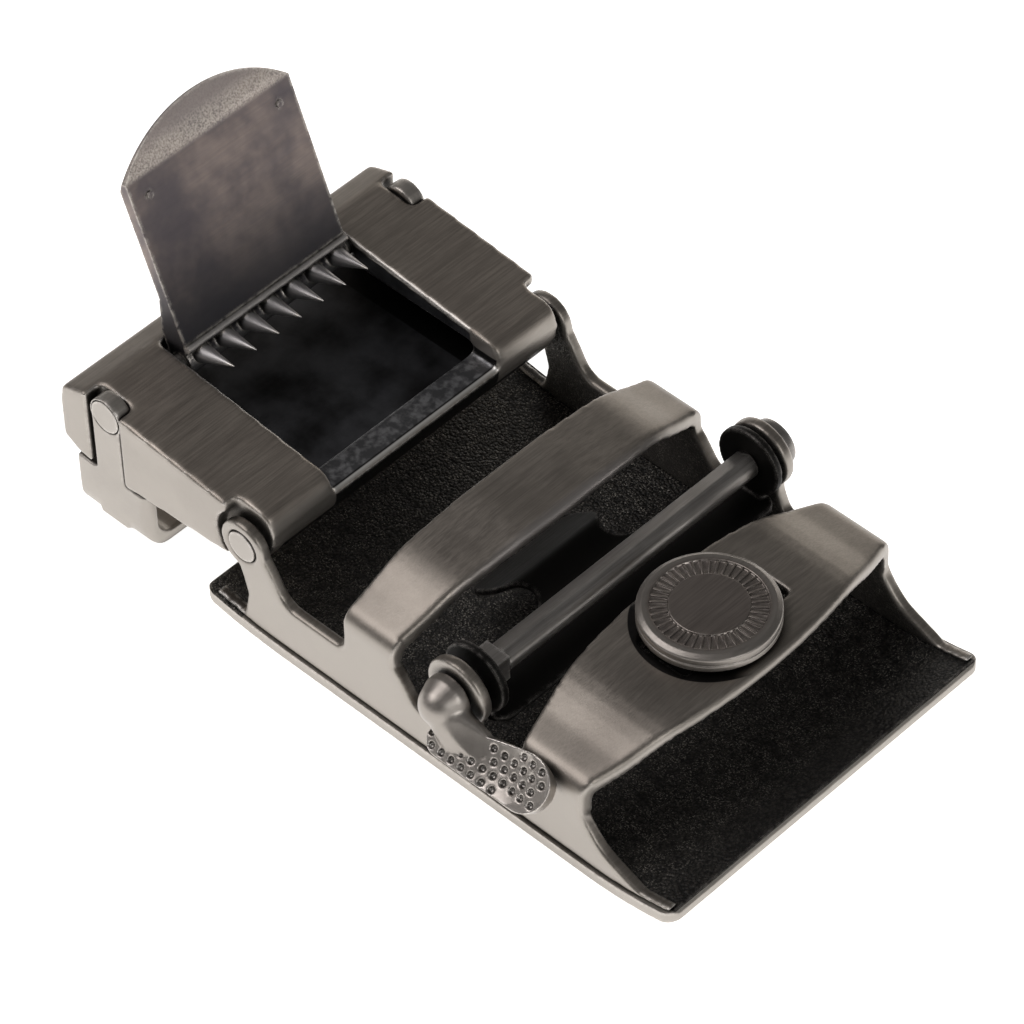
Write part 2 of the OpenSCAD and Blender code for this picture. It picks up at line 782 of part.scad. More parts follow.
// Loop under the cover, with a post and knuckle on each side
module clamp_base() {
    y = clamp_y - loop_play;
    post_y = clamp_y - post_depth + seat;
    back = tail_x + loop_back;
    front = jaw_x + loop_front;
    top = cover_low - loop_play;
    color("slategray")
        difference() {
            union() {
                intersection() {
                    along_x(back, front)
                        difference() {
                            polygon(rounded(both_sides([[y, top, 0], [y, 0, 2.2 * loop_t]])));
                            polygon(rounded(both_sides([[y - loop_t, top + past, 0],
                                [y - loop_t, loop_t, 1.4 * loop_t]])));
                        }
                    along_y(-y, y)
                        polygon(rounded([[back, 0, 1.2], [back, top, 0.3], [front, top, 0], [front, 0, 0.4]]));
                    linear_extrude(top)
                        polygon(rounded([[back, -y, 0.3], [front, -y, 1.1], [front, y, 1.1], [back, y, 0.3]]));
                }
                near_and_far() {
                    round_y(jaw_x, jaw_z, post_w / 2 + loop_play, -y, -post_y);
                    translate([jaw_x - post_w / 2, -y, loop_t])
                        cube([post_w - run, y - post_y, jaw_z - loop_t]);
                }
            }
            near_and_far() {
                round_y(jaw_x, jaw_z, jaw_pin_d / 2 + seat, -y - past, 0);
                round_y(jaw_x, jaw_z, jaw_head_d / 2 + run, -y - past, head_t - y);
            }
        }
}

// Jaw in its own frame: hinge axis at the origin, flap up along Z, front face towards +X
jaw_half = window_w / 2 - 2 * side;
barrel_r = 1.45;
face_x = 1.5;
lip_z = 1.6;
// Bead along the bottom of the face
bead_r = 0.36;
bead_x = face_x + 0.1;
// Folded sides of the flap
fold_h = 7;
fold_low = 3;
fold_x = -1.2;
// Small round stops on the face
nub_y = 0.8 * jaw_half;
nub_z = 0.735 * flap_l;
nub_r = 0.35;
// Foot of the teeth: depth behind the face, and height above the hinge axis
tooth_root = 0.7;
tooth_z = 0.42;
tooth_tip_r = 0.06;

// Outline of the flap seen from the front, with the round top of radius r
module flap_outline(r) {
    intersection() {
        translate([-jaw_half, lip_z])
            square([2 * jaw_half, flap_l]);
        translate([0, flap_l - flap_top_r])
            circle(r = r);
    }
}

module jaw_shape() {
    back_x = face_x - flap_t;
    difference() {
        union() {
            along_x(back_x + flap_bevel, face_x)
                flap_outline(flap_top_r);
            intersection() {
                along_x(back_x, face_x)
                    flap_outline(flap_top_r);
                translate([back_x, 0, flap_l - flap_top_r])
                    rotate([0, 90, 0])
                        cylinder(r1 = flap_top_r - flap_bevel, r2 = flap_top_r - flap_bevel + flap_t, h = flap_t);
            }
            // Bead along the bottom of the face, and the foot behind it
            round_y(bead_x, lip_z, bead_r, -jaw_half, jaw_half);
            translate([back_x - flap_bevel, -jaw_half, 0])
                cube([flap_t, 2 * jaw_half, lip_z + bead_r]);
            // Folded sides near the hinge
            near_and_far()
                along_y(-jaw_half, flap_t - jaw_half)
                    polygon(rounded([[face_x, lip_z, 0], [face_x, fold_h, 0.5], [back_x, fold_h, 1],
                        [fold_x, fold_low, 1], [fold_x, 0, 0], [barrel_r / 2, 0, 0]]));
            round_y(0, 0, barrel_r, -jaw_half, jaw_half);
            near_and_far()
                translate([face_x - seat, -nub_y, nub_z])
                    rotate([0, 90, 0])
                        cylinder(r = nub_r, h = 0.5 * nub_r + seat, $fn = 24);
            for (i = [0:tooth_count - 1])
                translate([face_x, (i - (tooth_count - 1) / 2) * tooth_pitch, tooth_z])
                    rotate([0, 90 + tooth_dip, 0])
                        translate([0, 0, -tooth_root])
                            cylinder(r1 = tooth_d / 2, r2 = tooth_tip_r, h = tooth_l + tooth_root, $fn = 40);
        }
        round_y(0, 0, jaw_pin_d / 2 + run, -jaw_half - past, jaw_half + past);
    }
}

module jaw_flap() {
    color("gray")
        translate([jaw_x, 0, jaw_z])
            rotate([0, -flap_lean, 0])
                jaw_shape();
}

// Pin on the near side with a flat head
module pin(x, z, d, head_d, y_head, y_tip) {
    round_y(x, z, d / 2, -y_head, -y_tip);
    round_y(x, z, head_d / 2, -y_head, head_t - seat - y_head);
}

module jaw_pin() {
    color("silver")
        pin(jaw_x, jaw_z, jaw_pin_d, jaw_head_d, clamp_y - loop_play, window_w / 2 - jaw_depth);
}

module ear_pin() {
    color("silver")
        pin(ear_x, ear_z, ear_pin_d, ear_head_d, wall_y, inner_y - pin_depth);
}

face_plate();
back_frame();
button_cap();
pawl_shaft();
pawl_plate();
thumb_lever();
clamp_cover();
clamp_base();
jaw_flap();
jaw_pin();  // jaw_pin_near
mirror([0, 1, 0]) jaw_pin();  // jaw_pin_far
ear_pin();  // ear_pin_near
mirror([0, 1, 0]) ear_pin();  // ear_pin_far
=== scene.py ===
# %% [markdown]
# # A ratchet belt buckle, lying on its face
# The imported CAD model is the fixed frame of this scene: each of its solids has its place, and nothing here
# moves it. The lesson dresses that frame. Each solid gets the soft edges of a real casting or pressing,
# and a finish made of nodes: gunmetal plating brushed across the strap, a pebbled black tray, worn rims.

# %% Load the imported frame
import json
import math

import bmesh
import bpy
from mathutils import Matrix, Vector

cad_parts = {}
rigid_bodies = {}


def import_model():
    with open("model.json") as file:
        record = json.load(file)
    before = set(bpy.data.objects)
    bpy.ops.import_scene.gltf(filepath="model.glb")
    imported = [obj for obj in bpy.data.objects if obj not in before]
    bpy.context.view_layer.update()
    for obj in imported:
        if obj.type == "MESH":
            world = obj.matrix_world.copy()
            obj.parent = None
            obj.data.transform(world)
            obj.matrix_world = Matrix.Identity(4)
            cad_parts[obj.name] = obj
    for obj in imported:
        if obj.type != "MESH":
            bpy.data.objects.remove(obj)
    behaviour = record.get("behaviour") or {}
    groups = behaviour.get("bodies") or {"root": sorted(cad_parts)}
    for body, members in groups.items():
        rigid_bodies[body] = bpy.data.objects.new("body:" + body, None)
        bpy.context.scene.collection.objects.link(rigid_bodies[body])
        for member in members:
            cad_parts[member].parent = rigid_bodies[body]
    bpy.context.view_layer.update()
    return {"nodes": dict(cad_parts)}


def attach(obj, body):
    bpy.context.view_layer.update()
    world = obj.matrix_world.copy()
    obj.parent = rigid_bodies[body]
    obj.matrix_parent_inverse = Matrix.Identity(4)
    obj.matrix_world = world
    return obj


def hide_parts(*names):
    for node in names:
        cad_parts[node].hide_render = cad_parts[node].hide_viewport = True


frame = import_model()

MM = 0.001

# %% [markdown]
# ## The camera
# A long lens far away keeps the buckle's edges almost parallel, as a product photograph does. The camera is
# placed by the direction it looks in, by the point it aims at, and by a small roll about its own axis.

# %% Camera at the photograph's angle
AIM = Vector((-10.35, 1.14, 8.0)) * MM
CAMERA_DISTANCE = 498.0 * MM
CAMERA_AZIMUTH = math.radians(45.26)
CAMERA_ELEVATION = math.radians(46.583)
CAMERA_ROLL = math.radians(1.897)
LENS = 198.29
SENSOR = 36.0


def camera_axes(azimuth, elevation, roll):
    """Right, up and backward directions of a camera that looks down on the object."""
    ahead = Vector((-math.sin(azimuth) * math.cos(elevation), math.cos(azimuth) * math.cos(elevation),
                    -math.sin(elevation)))
    level_right = Vector((math.cos(azimuth), math.sin(azimuth), 0))
    level_down = ahead.cross(level_right)
    right = level_right * math.cos(roll) + level_down * math.sin(roll)
    down = level_down * math.cos(roll) - level_right * math.sin(roll)
    return right, -down, -ahead


def add_camera():
    right, up, back = camera_axes(CAMERA_AZIMUTH, CAMERA_ELEVATION, CAMERA_ROLL)
    camera = bpy.data.objects.new("camera", bpy.data.cameras.new("camera"))
    bpy.context.collection.objects.link(camera)
    camera.data.lens = LENS
    camera.data.sensor_width = SENSOR
    camera.data.clip_start = 0.01
    camera.data.clip_end = 20
    place = Matrix((right, up, back)).transposed().to_4x4()
    place.translation = AIM + back * CAMERA_DISTANCE
    camera.matrix_world = place
    bpy.context.scene.camera = camera
    return camera


camera = add_camera()
print("camera at", [round(value, 4) for value in camera.location])

# %% [markdown]
# ## Light and floor
# Polished metal shows what stands around it. The buckle lies on a light table: its white sheet glows, so the
# upright walls mirror it and turn pale, helped by painted light in their colour, and no hard shadow falls.
# The top faces mirror the room instead, which is kept dim, with one long dim box at the far side that gives
# the brushed tops their sheen.

# %% Floor
WHITE = (0.9, 0.9, 0.9, 1)
FLOOR_SIZE = 6.0
FLOOR_DROP = 0.02 * MM
TABLE_GLOW = 1.0
GLOW_TINT = (1.0, 0.99, 0.97, 1)


def add_floor():
    bpy.ops.object.select_all(action="DESELECT")
    bpy.ops.mesh.primitive_plane_add(size=FLOOR_SIZE, location=(0, 0, -FLOOR_DROP))
    floor = bpy.context.active_object
    floor.name = "floor"
    material = bpy.data.materials.new("floor_paper")
    material.use_nodes = True
    shader = material.node_tree.nodes["Principled BSDF"]
    shader.inputs["Base Color"].default_value = WHITE
    shader.inputs["Roughness"].default_value = 0.9
    shader.inputs["Specular IOR Level"].default_value = 0.1
    shader.inputs["Emission Color"].default_value = GLOW_TINT
    shader.inputs["Emission Strength"].default_value = TABLE_GLOW
    floor.data.materials.append(material)
    return floor


floor = add_floor()
print("floor:", FLOOR_SIZE, "m wide")

# %% Soft boxes and the room
ROOM_GREY = 0.13
# Name, place and size in metres, power in watts, tint
SOFTBOXES = [
    ("key_softbox", (-0.8, -0.7, 1.5), (1.3, 1.3), 16.5, (1.0, 0.97, 0.98)),
    ("side_softbox", (1.5, -0.2, 0.8), (0.7, 0.7), 6.0, (1.0, 1.0, 1.0)),
    ("sheen_softbox", (-0.8, 1.35, 0.36), (1.5, 0.34), 3.1, (1.0, 0.95, 0.89)),
]


def add_softbox(name, place, size, power, tint):
    """Rectangular light at place that looks at the buckle."""
    light = bpy.data.lights.new(name, "AREA")
    light.shape = "RECTANGLE"
    light.size, light.size_y = size
    light.energy = power
    light.color = tint
    holder = bpy.data.objects.new(name, light)
    bpy.context.collection.objects.link(holder)
    holder.location = place
    holder.rotation_euler = (-Vector(place)).to_track_quat("-Z", "Y").to_euler()
    return holder


def light_room():
    world = bpy.data.worlds.new("studio")
    bpy.context.scene.world = world
    world.use_nodes = True
    background = world.node_tree.nodes["Background"]
    background.inputs["Color"].default_value = (ROOM_GREY, ROOM_GREY, ROOM_GREY, 1)
    background.inputs["Strength"].default_value = 1.0


light_room()
lamps = [add_softbox(*softbox) for softbox in SOFTBOXES]
bpy.context.scene.view_settings.view_transform = "Standard"
print("lights:", [lamp.name for lamp in lamps])

# %% [markdown]
# ## Node helpers
# A finish is a small graph. These helpers add a node, join two sockets and open a node group with named
# inputs and outputs, so that each finish below reads as a list of what it is made of.

# %% Helpers for node graphs
def open_group(name, inputs, outputs):
    """Node group with float or colour sockets; a colour socket's default is a tuple."""
    group = bpy.data.node_groups.new(name, "ShaderNodeTree")
    for label, value in inputs:
        kind = "NodeSocketColor" if isinstance(value, tuple) else "NodeSocketFloat"
        socket = group.interface.new_socket(name=label, in_out="INPUT", socket_type=kind)
        socket.default_value = (*value, 1) if isinstance(value, tuple) else value
    for label, kind in outputs:
        group.interface.new_socket(name=label, in_out="OUTPUT", socket_type=kind)
    return group, group.nodes.new("NodeGroupInput"), group.nodes.new("NodeGroupOutput")


def feed(tree, target, value):
    """Sets a socket, or links it when value is a socket of another node."""
    if isinstance(value, bpy.types.NodeSocket):
        tree.links.new(value, target)
    else:
        target.default_value = value


def math_node(tree, operation, first, second=0.0, third=0.0, clamp=False):
    node = tree.nodes.new("ShaderNodeMath")
    node.operation = operation
    node.use_clamp = clamp
    for socket, value in zip(node.inputs, (first, second, third)):
        feed(tree, socket, value)
    return node.outputs[0]


def ramp(tree, value, low, high, to_high=1.0):
    """Maps low..high to 0..to_high, clamped, with soft ends."""
    node = tree.nodes.new("ShaderNodeMapRange")
    node.interpolation_type = "SMOOTHSTEP"
    for label, number in (("Value", value), ("From Min", low), ("From Max", high), ("To Max", to_high)):
        feed(tree, node.inputs[label], number)
    return node.outputs["Result"]


def blend(tree, share, first, second):
    """Colour between first, at share 0, and second, at share 1."""
    node = tree.nodes.new("ShaderNodeMix")
    node.data_type = "RGBA"
    feed(tree, node.inputs[0], share)
    feed(tree, node.inputs[6], first)
    feed(tree, node.inputs[7], second)
    return node.outputs[2]


def noise(tree, scale, stretch=(1, 1, 1), detail=3.0, roughness=0.5, shift=(0, 0, 0)):
    """Noise in object space; scale is in features per metre, stretch multiplies it along each axis."""
    place = tree.nodes.new("ShaderNodeTexCoord")
    mapping = tree.nodes.new("ShaderNodeMapping")
    mapping.inputs["Scale"].default_value = stretch
    mapping.inputs["Location"].default_value = shift
    texture = tree.nodes.new("ShaderNodeTexNoise")
    texture.inputs["Detail"].default_value = detail
    texture.inputs["Roughness"].default_value = roughness
    feed(tree, texture.inputs["Scale"], scale)
    tree.links.new(place.outputs["Object"], mapping.inputs["Vector"])
    tree.links.new(mapping.outputs["Vector"], texture.inputs["Vector"])
    return texture.outputs["Fac"]


# %% [markdown]
# ## Shared effects
# Five effects make the metal: the brushed grain, whose scratches run across the strap; the wear that
# brightens an edge where the plating has rubbed thin; the slow stains that handling leaves; the black
# patina that stays in the recesses; and the black coat with grains in it that fills the inside. A sixth
# group, the zone, is the mask of a box, so that a finish can change at a named place.

# %% Brushed grain
# Scratches per metre along X, Y and Z: few along Y, so they run across the strap
FINE_SCRATCHES = (9000, 240, 9000)
BROAD_SCRATCHES = (2600, 110, 2600)
FINE_SHARE = 0.65


def make_grain_group():
    group, into, out = open_group(
        "brushed_grain",
        [("Light", (0.34, 0.32, 0.30)), ("Dark", (0.20, 0.185, 0.17)), ("Depth", 0.5),
         ("Base Roughness", 0.38)],
        [("Color", "NodeSocketColor"), ("Roughness", "NodeSocketFloat"), ("Height", "NodeSocketFloat")])
    fine = noise(group, 1.0, stretch=FINE_SCRATCHES, detail=2.0, roughness=0.6)
    broad = noise(group, 1.0, stretch=BROAD_SCRATCHES, detail=2.0, roughness=0.6, shift=(3, 1, 2))
    fine_share = math_node(group, "MULTIPLY", fine, FINE_SHARE)
    streak = math_node(group, "MULTIPLY_ADD", broad, 1.0 - FINE_SHARE, fine_share)
    level = ramp(group, streak, 0.34, 0.66)
    strength = math_node(group, "MULTIPLY", into.outputs["Depth"], math_node(group, "SUBTRACT", 1.0, level))
    color = blend(group, strength, into.outputs["Light"], into.outputs["Dark"])
    rough = math_node(group, "MULTIPLY_ADD", level, 0.08, into.outputs["Base Roughness"])
    group.links.new(color, out.inputs["Color"])
    group.links.new(rough, out.inputs["Roughness"])
    group.links.new(level, out.inputs["Height"])
    return group


# %% Rubbed edges
# Cosines of the turn between a face and its rounded edge, where the rubbing starts and where it is full
EDGE_TURN = (0.97, 0.78)
RUBBED_SPOTS = 1600.0


def make_wear_group():
    group, into, out = open_group("edge_wear", [("Radius", 0.0004), ("Amount", 1.0)],
                                  [("Mask", "NodeSocketFloat")])
    bevel = group.nodes.new("ShaderNodeBevel")
    bevel.samples = 4
    feed(group, bevel.inputs["Radius"], into.outputs["Radius"])
    geometry = group.nodes.new("ShaderNodeNewGeometry")
    dot = group.nodes.new("ShaderNodeVectorMath")
    dot.operation = "DOT_PRODUCT"
    group.links.new(bevel.outputs["Normal"], dot.inputs[0])
    group.links.new(geometry.outputs["True Normal"], dot.inputs[1])
    edge = ramp(group, dot.outputs["Value"], *EDGE_TURN)
    rubbed = ramp(group, noise(group, RUBBED_SPOTS, detail=4.0, roughness=0.65), 0.32, 0.64)
    rubbed_edge = math_node(group, "MULTIPLY", edge, rubbed)
    mask = math_node(group, "MULTIPLY", rubbed_edge, into.outputs["Amount"], clamp=True)
    group.links.new(mask, out.inputs["Mask"])
    return group


# %% Stains and patina
SLOW_STAINS = 110.0
# Openness of a point at which the patina starts, and at which it is full
SHELTERED = (0.92, 0.45)


def make_stain_group():
    group, into, out = open_group("handling_stains", [("Amount", 0.5)], [("Mask", "NodeSocketFloat")])
    slow = ramp(group, noise(group, SLOW_STAINS, detail=4.0, roughness=0.6), 0.35, 0.68)
    group.links.new(math_node(group, "MULTIPLY", slow, into.outputs["Amount"]), out.inputs["Mask"])
    return group


def make_patina_group():
    group, into, out = open_group("recess_patina", [("Reach", 0.0012), ("Amount", 1.0)],
                                  [("Mask", "NodeSocketFloat")])
    shelter = group.nodes.new("ShaderNodeAmbientOcclusion")
    shelter.samples = 6
    feed(group, shelter.inputs["Distance"], into.outputs["Reach"])
    deep = ramp(group, shelter.outputs["AO"], *SHELTERED)
    mask = math_node(group, "MULTIPLY", deep, into.outputs["Amount"], clamp=True)
    group.links.new(mask, out.inputs["Mask"])
    return group


# %% Grains in the black coat
# Features per metre
COAT_CELLS = 3400
COAT_LUMPS = 2600.0
COAT_GRAINS = 6500.0
GRAIN_CLUSTERS = 750.0
COAT_LOW = (0.005, 0.0046, 0.0042, 1)
COAT_HIGH = (0.038, 0.034, 0.029, 1)
COAT_GLINT = (0.30, 0.28, 0.245, 1)


def make_pebble_group():
    """Colour and height of the coarse coat, with painted glints on a few grains."""
    group, into, out = open_group("pebbled_coat", [("Sparkle", 1.0)],
                                  [("Color", "NodeSocketColor"), ("Height", "NodeSocketFloat")])
    place = group.nodes.new("ShaderNodeTexCoord")
    cells = group.nodes.new("ShaderNodeTexVoronoi")
    cells.inputs["Scale"].default_value = COAT_CELLS
    group.links.new(place.outputs["Object"], cells.inputs["Vector"])
    lumps = noise(group, COAT_LUMPS, detail=3.0, roughness=0.7)
    height = math_node(group, "MULTIPLY_ADD", cells.outputs["Distance"], -0.8, lumps)
    grain_top = ramp(group, noise(group, COAT_GRAINS, detail=2.0, roughness=0.6), 0.54, 0.68)
    cluster = ramp(group, noise(group, GRAIN_CLUSTERS, detail=3.0, shift=(5, 2, 1)), 0.30, 0.62)
    clustered = math_node(group, "MULTIPLY", cluster, grain_top)
    glint = math_node(group, "MULTIPLY", clustered, into.outputs["Sparkle"])
    base = blend(group, ramp(group, height, -0.1, 0.5), COAT_LOW, COAT_HIGH)
    group.links.new(blend(group, glint, base, COAT_GLINT), out.inputs["Color"])
    group.links.new(height, out.inputs["Height"])
    return group


# %% A box-shaped zone in object space
def make_zone_group():
    labels = ("X Low", "X High", "Y Reach", "Z Low", "Z High", "Soft")
    group, into, out = open_group("zone", [(label, 0.0) for label in labels], [("Mask", "NodeSocketFloat")])
    place = group.nodes.new("ShaderNodeTexCoord")
    split = group.nodes.new("ShaderNodeSeparateXYZ")
    group.links.new(place.outputs["Object"], split.inputs[0])
    across = math_node(group, "ABSOLUTE", split.outputs["Y"])
    gaps = [
        math_node(group, "SUBTRACT", split.outputs["X"], into.outputs["X Low"]),
        math_node(group, "SUBTRACT", into.outputs["X High"], split.outputs["X"]),
        math_node(group, "SUBTRACT", into.outputs["Y Reach"], across),
        math_node(group, "SUBTRACT", split.outputs["Z"], into.outputs["Z Low"]),
        math_node(group, "SUBTRACT", into.outputs["Z High"], split.outputs["Z"]),
    ]
    depth = gaps[0]
    for gap in gaps[1:]:
        depth = math_node(group, "MINIMUM", depth, gap)
    group.links.new(math_node(group, "DIVIDE", depth, into.outputs["Soft"], clamp=True), out.inputs["Mask"])
    return group


GRAIN = make_grain_group()
WEAR = make_wear_group()
STAINS = make_stain_group()
PATINA = make_patina_group()
PEBBLES = make_pebble_group()
ZONE = make_zone_group()
print("groups:", [group.name for group in (GRAIN, WEAR, STAINS, PATINA, PEBBLES, ZONE)])


# %% [markdown]
# ## The plated metals
# The cast and the turned pieces carry the same dark plating, lighter on some of them and browner on others.
# One function lays the effects over each other, the real ones in the order in which they came about: the
# brushed plating with its stains, the painted light that makes the upright sides pale, the places where one
# piece differs, some of them painted shade and painted highlights, the patina, and last the rubbed edges.
# A painted image could show the same, but it would first need each piece unwrapped, and nodes need nothing.

# %% Gunmetal plating
def use_group(tree, group, **values):
    node = tree.nodes.new("ShaderNodeGroup")
    node.node_tree = group
    for label, value in values.items():
        feed(tree, node.inputs[label.replace("_", " ")], value)
    return node


# Colour of the painted light on the upright sides, standing for the glow of the light table that they mirror
PAINTED_SIDE_LIGHT = (0.385, 0.356, 0.324)
METALLIC = 0.9
GRAIN_BUMP = 0.05
RELIEF_DEPTH = 0.1
WEAR_RADIUS = 0.6
PATINA_SHADE = 0.12


def rgb(color):
    return (*color, 1)


def zone_mask(tree, box, soft):
    """Mask of a box given in millimetres as x low, x high, y reach, z low, z high."""
    x_low, x_high, y_reach, z_low, z_high = (value * MM for value in box)
    zone = use_group(tree, ZONE, X_Low=x_low, X_High=x_high, Y_Reach=y_reach, Z_Low=z_low, Z_High=z_high,
                     Soft=soft * MM)
    return zone.outputs["Mask"]


def facing_z(tree):
    """How far a face looks up: 1 for up, 0 for an upright side, -1 for down."""
    place = tree.nodes.new("ShaderNodeTexCoord")
    split = tree.nodes.new("ShaderNodeSeparateXYZ")
    tree.links.new(place.outputs["Normal"], split.inputs[0])
    return split.outputs["Z"]


def plated_color(tree, light, dark, worn, grain, stains, roughness, side_light, patina, wear, zones):
    """Colour of the plating, its grain node and the masks of stains and rubbed edges."""
    brushed = use_group(tree, GRAIN, Light=rgb(light), Dark=rgb(dark), Depth=grain, Base_Roughness=roughness)
    stained = use_group(tree, STAINS, Amount=stains)
    color = blend(tree, stained.outputs["Mask"], brushed.outputs["Color"], rgb(dark))
    # Painted light: the upright sides are lightened towards a pale colour, as if lit by the light table
    upright = ramp(tree, math_node(tree, "ABSOLUTE", facing_z(tree)), 0.75, 0.2, to_high=side_light)
    color = blend(tree, upright, color, rgb(PAINTED_SIDE_LIGHT))
    for make_mask, zone_color, share in zones:
        color = blend(tree, math_node(tree, "MULTIPLY", make_mask(tree), share), color, rgb(zone_color))
    sheltered = use_group(tree, PATINA, Amount=patina)
    color = blend(tree, sheltered.outputs["Mask"], color, rgb([PATINA_SHADE * value for value in dark]))
    rubbed = use_group(tree, WEAR, Radius=WEAR_RADIUS * MM, Amount=wear)
    color = blend(tree, rubbed.outputs["Mask"], color, rgb(worn))
    return color, brushed, stained.outputs["Mask"], rubbed.outputs["Mask"]


def add_relief(tree, shader, height, strength):
    relief = tree.nodes.new("ShaderNodeBump")
    feed(tree, relief.inputs["Strength"], strength)
    relief.inputs["Distance"].default_value = RELIEF_DEPTH * MM
    tree.links.new(height, relief.inputs["Height"])
    tree.links.new(relief.outputs["Normal"], shader.inputs["Normal"])


def gunmetal(name, light, dark, worn, roughness=0.36, grain=0.4, wear=1.0, stains=0.45, patina=0.85,
             side_light=0.75, zones=()):
    """Plated metal; each zone is a function that adds a mask to the tree, with its colour and share."""
    material = bpy.data.materials.new(name)
    material.use_nodes = True
    tree = material.node_tree
    shader = tree.nodes["Principled BSDF"]
    shader.inputs["Metallic"].default_value = METALLIC
    color, brushed, stained, rubbed = plated_color(tree, light, dark, worn, grain, stains, roughness, side_light,
                                                   patina, wear, zones)
    tree.links.new(color, shader.inputs["Base Color"])
    tree.links.new(math_node(tree, "MULTIPLY_ADD", stained, 0.12, brushed.outputs["Roughness"]),
                   shader.inputs["Roughness"])
    add_relief(tree, shader, brushed.outputs["Height"], GRAIN_BUMP)
    return material


# %% [markdown]
# ## Places where a finish changes
# On the real buckle one casting shows several finishes, and some places also get painted light: the window is
# painted black inside for its shade and gets a painted highlight at its rim, and the ground around the button
# is darker. Each such place is a mask, made from a box, from the distance to a point, or from the way that a
# face looks. The boxes are written down in millimetres, as on a drawing.

# %% Where each finish changes
# A box is x low, x high, reach to both sides, z low and z high, in millimetres
WINDOW = (-44.3, -24.3, 11.3, 7.5, 16.5)
WINDOW_RIM_HIGHLIGHT = (-43.4, -24.4, 12.0, 12.7, 16.6)
HOLLOW_SHADE = (-46.0, -21.0, 16.5, 8.2, 12.8)
CROSSBAR = (-24.7, -21.3, 10.3, 9.0, 12.3)
LIP_HIGHLIGHT = (-21.25, -20.4, 10.35, 11.83, 12.5)
SHADE_UNDER_LIP = (-21.6, -19.8, 10.35, 5.0, 11.83)
STEM_SHADE = (7.0, 21.6, 7.5, 8.0, 13.45)
BUTTON_GROUND = (5.5, 24.5, 12.5, 8.0, 15.0)
BRIDGE_EDGE = (-3.9, -1.5, 13.0, 11.5, 17.0)
STRIP_END = (-28.5, -23.7, 20.0, 0.0, 2.6)
BETWEEN_WALLS = (-30.0, 30.0, 19.4, -1.0, 6.0)
PAST_THE_WALLS = (-30.0, -23.4, 30.0, -1.0, 6.0)
# Heights between which the floor of the window fades in, and points and directions on the pieces
WINDOW_FLOOR = (12.8, 12.4)
BUTTON = Vector((14.3, 0, 0))
CAP_SHADOW_RADIUS = 6.95
JAW_AXIS = Vector((-40.4, 0, 14.5))
FLAP_LEAN = math.radians(20.6)
FLAP_UP = Vector((-math.sin(FLAP_LEAN), 0, math.cos(FLAP_LEAN)))
FLAP_FRONT = Vector((math.cos(FLAP_LEAN), 0, math.sin(FLAP_LEAN)))
FOLD_HEIGHT = 18.7
TEETH = (-39.2, -33.0, 12.0, 12.5, 17.6)
JAW_BEAD = JAW_AXIS + FLAP_UP * 1.6 + FLAP_FRONT * 1.6
# Black of the painted shade in the cover's hollow and window, under the crossbar's lip, on the cap's stem and
# under the cap
SHADE_BLACK = (0.012, 0.0115, 0.0115)


def boxes(*items, soft=0.15):
    """Mask of one or more boxes, with an edge as soft as the given number of millimetres."""
    def make_mask(tree):
        mask = zone_mask(tree, items[0], soft)
        for item in items[1:]:
            mask = math_node(tree, "MAXIMUM", mask, zone_mask(tree, item, soft))
        return mask
    return make_mask


def distance_from(centre, low, high, keep=(1, 1, 1)):
    """Mask that rises from 0 to 1 between two distances from a point, along the axes that are kept."""
    def make_mask(tree):
        place = tree.nodes.new("ShaderNodeTexCoord")
        gap = tree.nodes.new("ShaderNodeVectorMath")
        gap.operation = "SUBTRACT"
        tree.links.new(place.outputs["Object"], gap.inputs[0])
        gap.inputs[1].default_value = centre * MM
        flatten = tree.nodes.new("ShaderNodeVectorMath")
        flatten.operation = "MULTIPLY"
        flatten.inputs[1].default_value = keep
        tree.links.new(gap.outputs[0], flatten.inputs[0])
        size = tree.nodes.new("ShaderNodeVectorMath")
        size.operation = "LENGTH"
        tree.links.new(flatten.outputs[0], size.inputs[0])
        return ramp(tree, size.outputs["Value"], low * MM, high * MM)
    return make_mask


def mottled(make_mask, scale, low=0.35, high=0.65):
    """The mask of another function, broken up by noise."""
    def make_spots(tree):
        spots = ramp(tree, noise(tree, scale, detail=5.0), low, high)
        return math_node(tree, "MULTIPLY", make_mask(tree), spots)
    return make_spots


def above_fold(low, high):
    """Mask that rises from 0 to 1 between two heights above the fold of the jaw flap."""
    def make_mask(tree):
        place = tree.nodes.new("ShaderNodeTexCoord")
        height = tree.nodes.new("ShaderNodeVectorMath")
        height.operation = "DOT_PRODUCT"
        tree.links.new(place.outputs["Object"], height.inputs[0])
        height.inputs[1].default_value = FLAP_UP
        fold = JAW_AXIS.dot(FLAP_UP) + FOLD_HEIGHT
        return ramp(tree, height.outputs["Value"], (fold + low) * MM, (fold + high) * MM)
    return make_mask


def along_axis(axis, low, high):
    """Mask that rises from 0 to 1 between two places along an axis."""
    def make_mask(tree):
        place = tree.nodes.new("ShaderNodeTexCoord")
        split = tree.nodes.new("ShaderNodeSeparateXYZ")
        tree.links.new(place.outputs["Object"], split.inputs[0])
        return ramp(tree, split.outputs[axis], low * MM, high * MM)
    return make_mask


def window_shade(tree):
    """Painted shade on the floor and walls of the cover's window, less the rounded edge above them."""
    upright = ramp(tree, facing_z(tree), 0.22, 0.10)
    low_down = along_axis("Z", *WINDOW_FLOOR)(tree)
    return math_node(tree, "MULTIPLY", boxes(WINDOW)(tree), math_node(tree, "MAXIMUM", upright, low_down))


def window_rim_highlight(tree):
    """Painted highlight on the rounded long edges of the window."""
    off_wall = ramp(tree, facing_z(tree), 0.15, 0.35)
    off_top = ramp(tree, facing_z(tree), 0.98, 0.88)
    rounded = math_node(tree, "MULTIPLY", off_wall, off_top)
    return math_node(tree, "MULTIPLY", boxes(WINDOW_RIM_HIGHLIGHT)(tree), rounded)


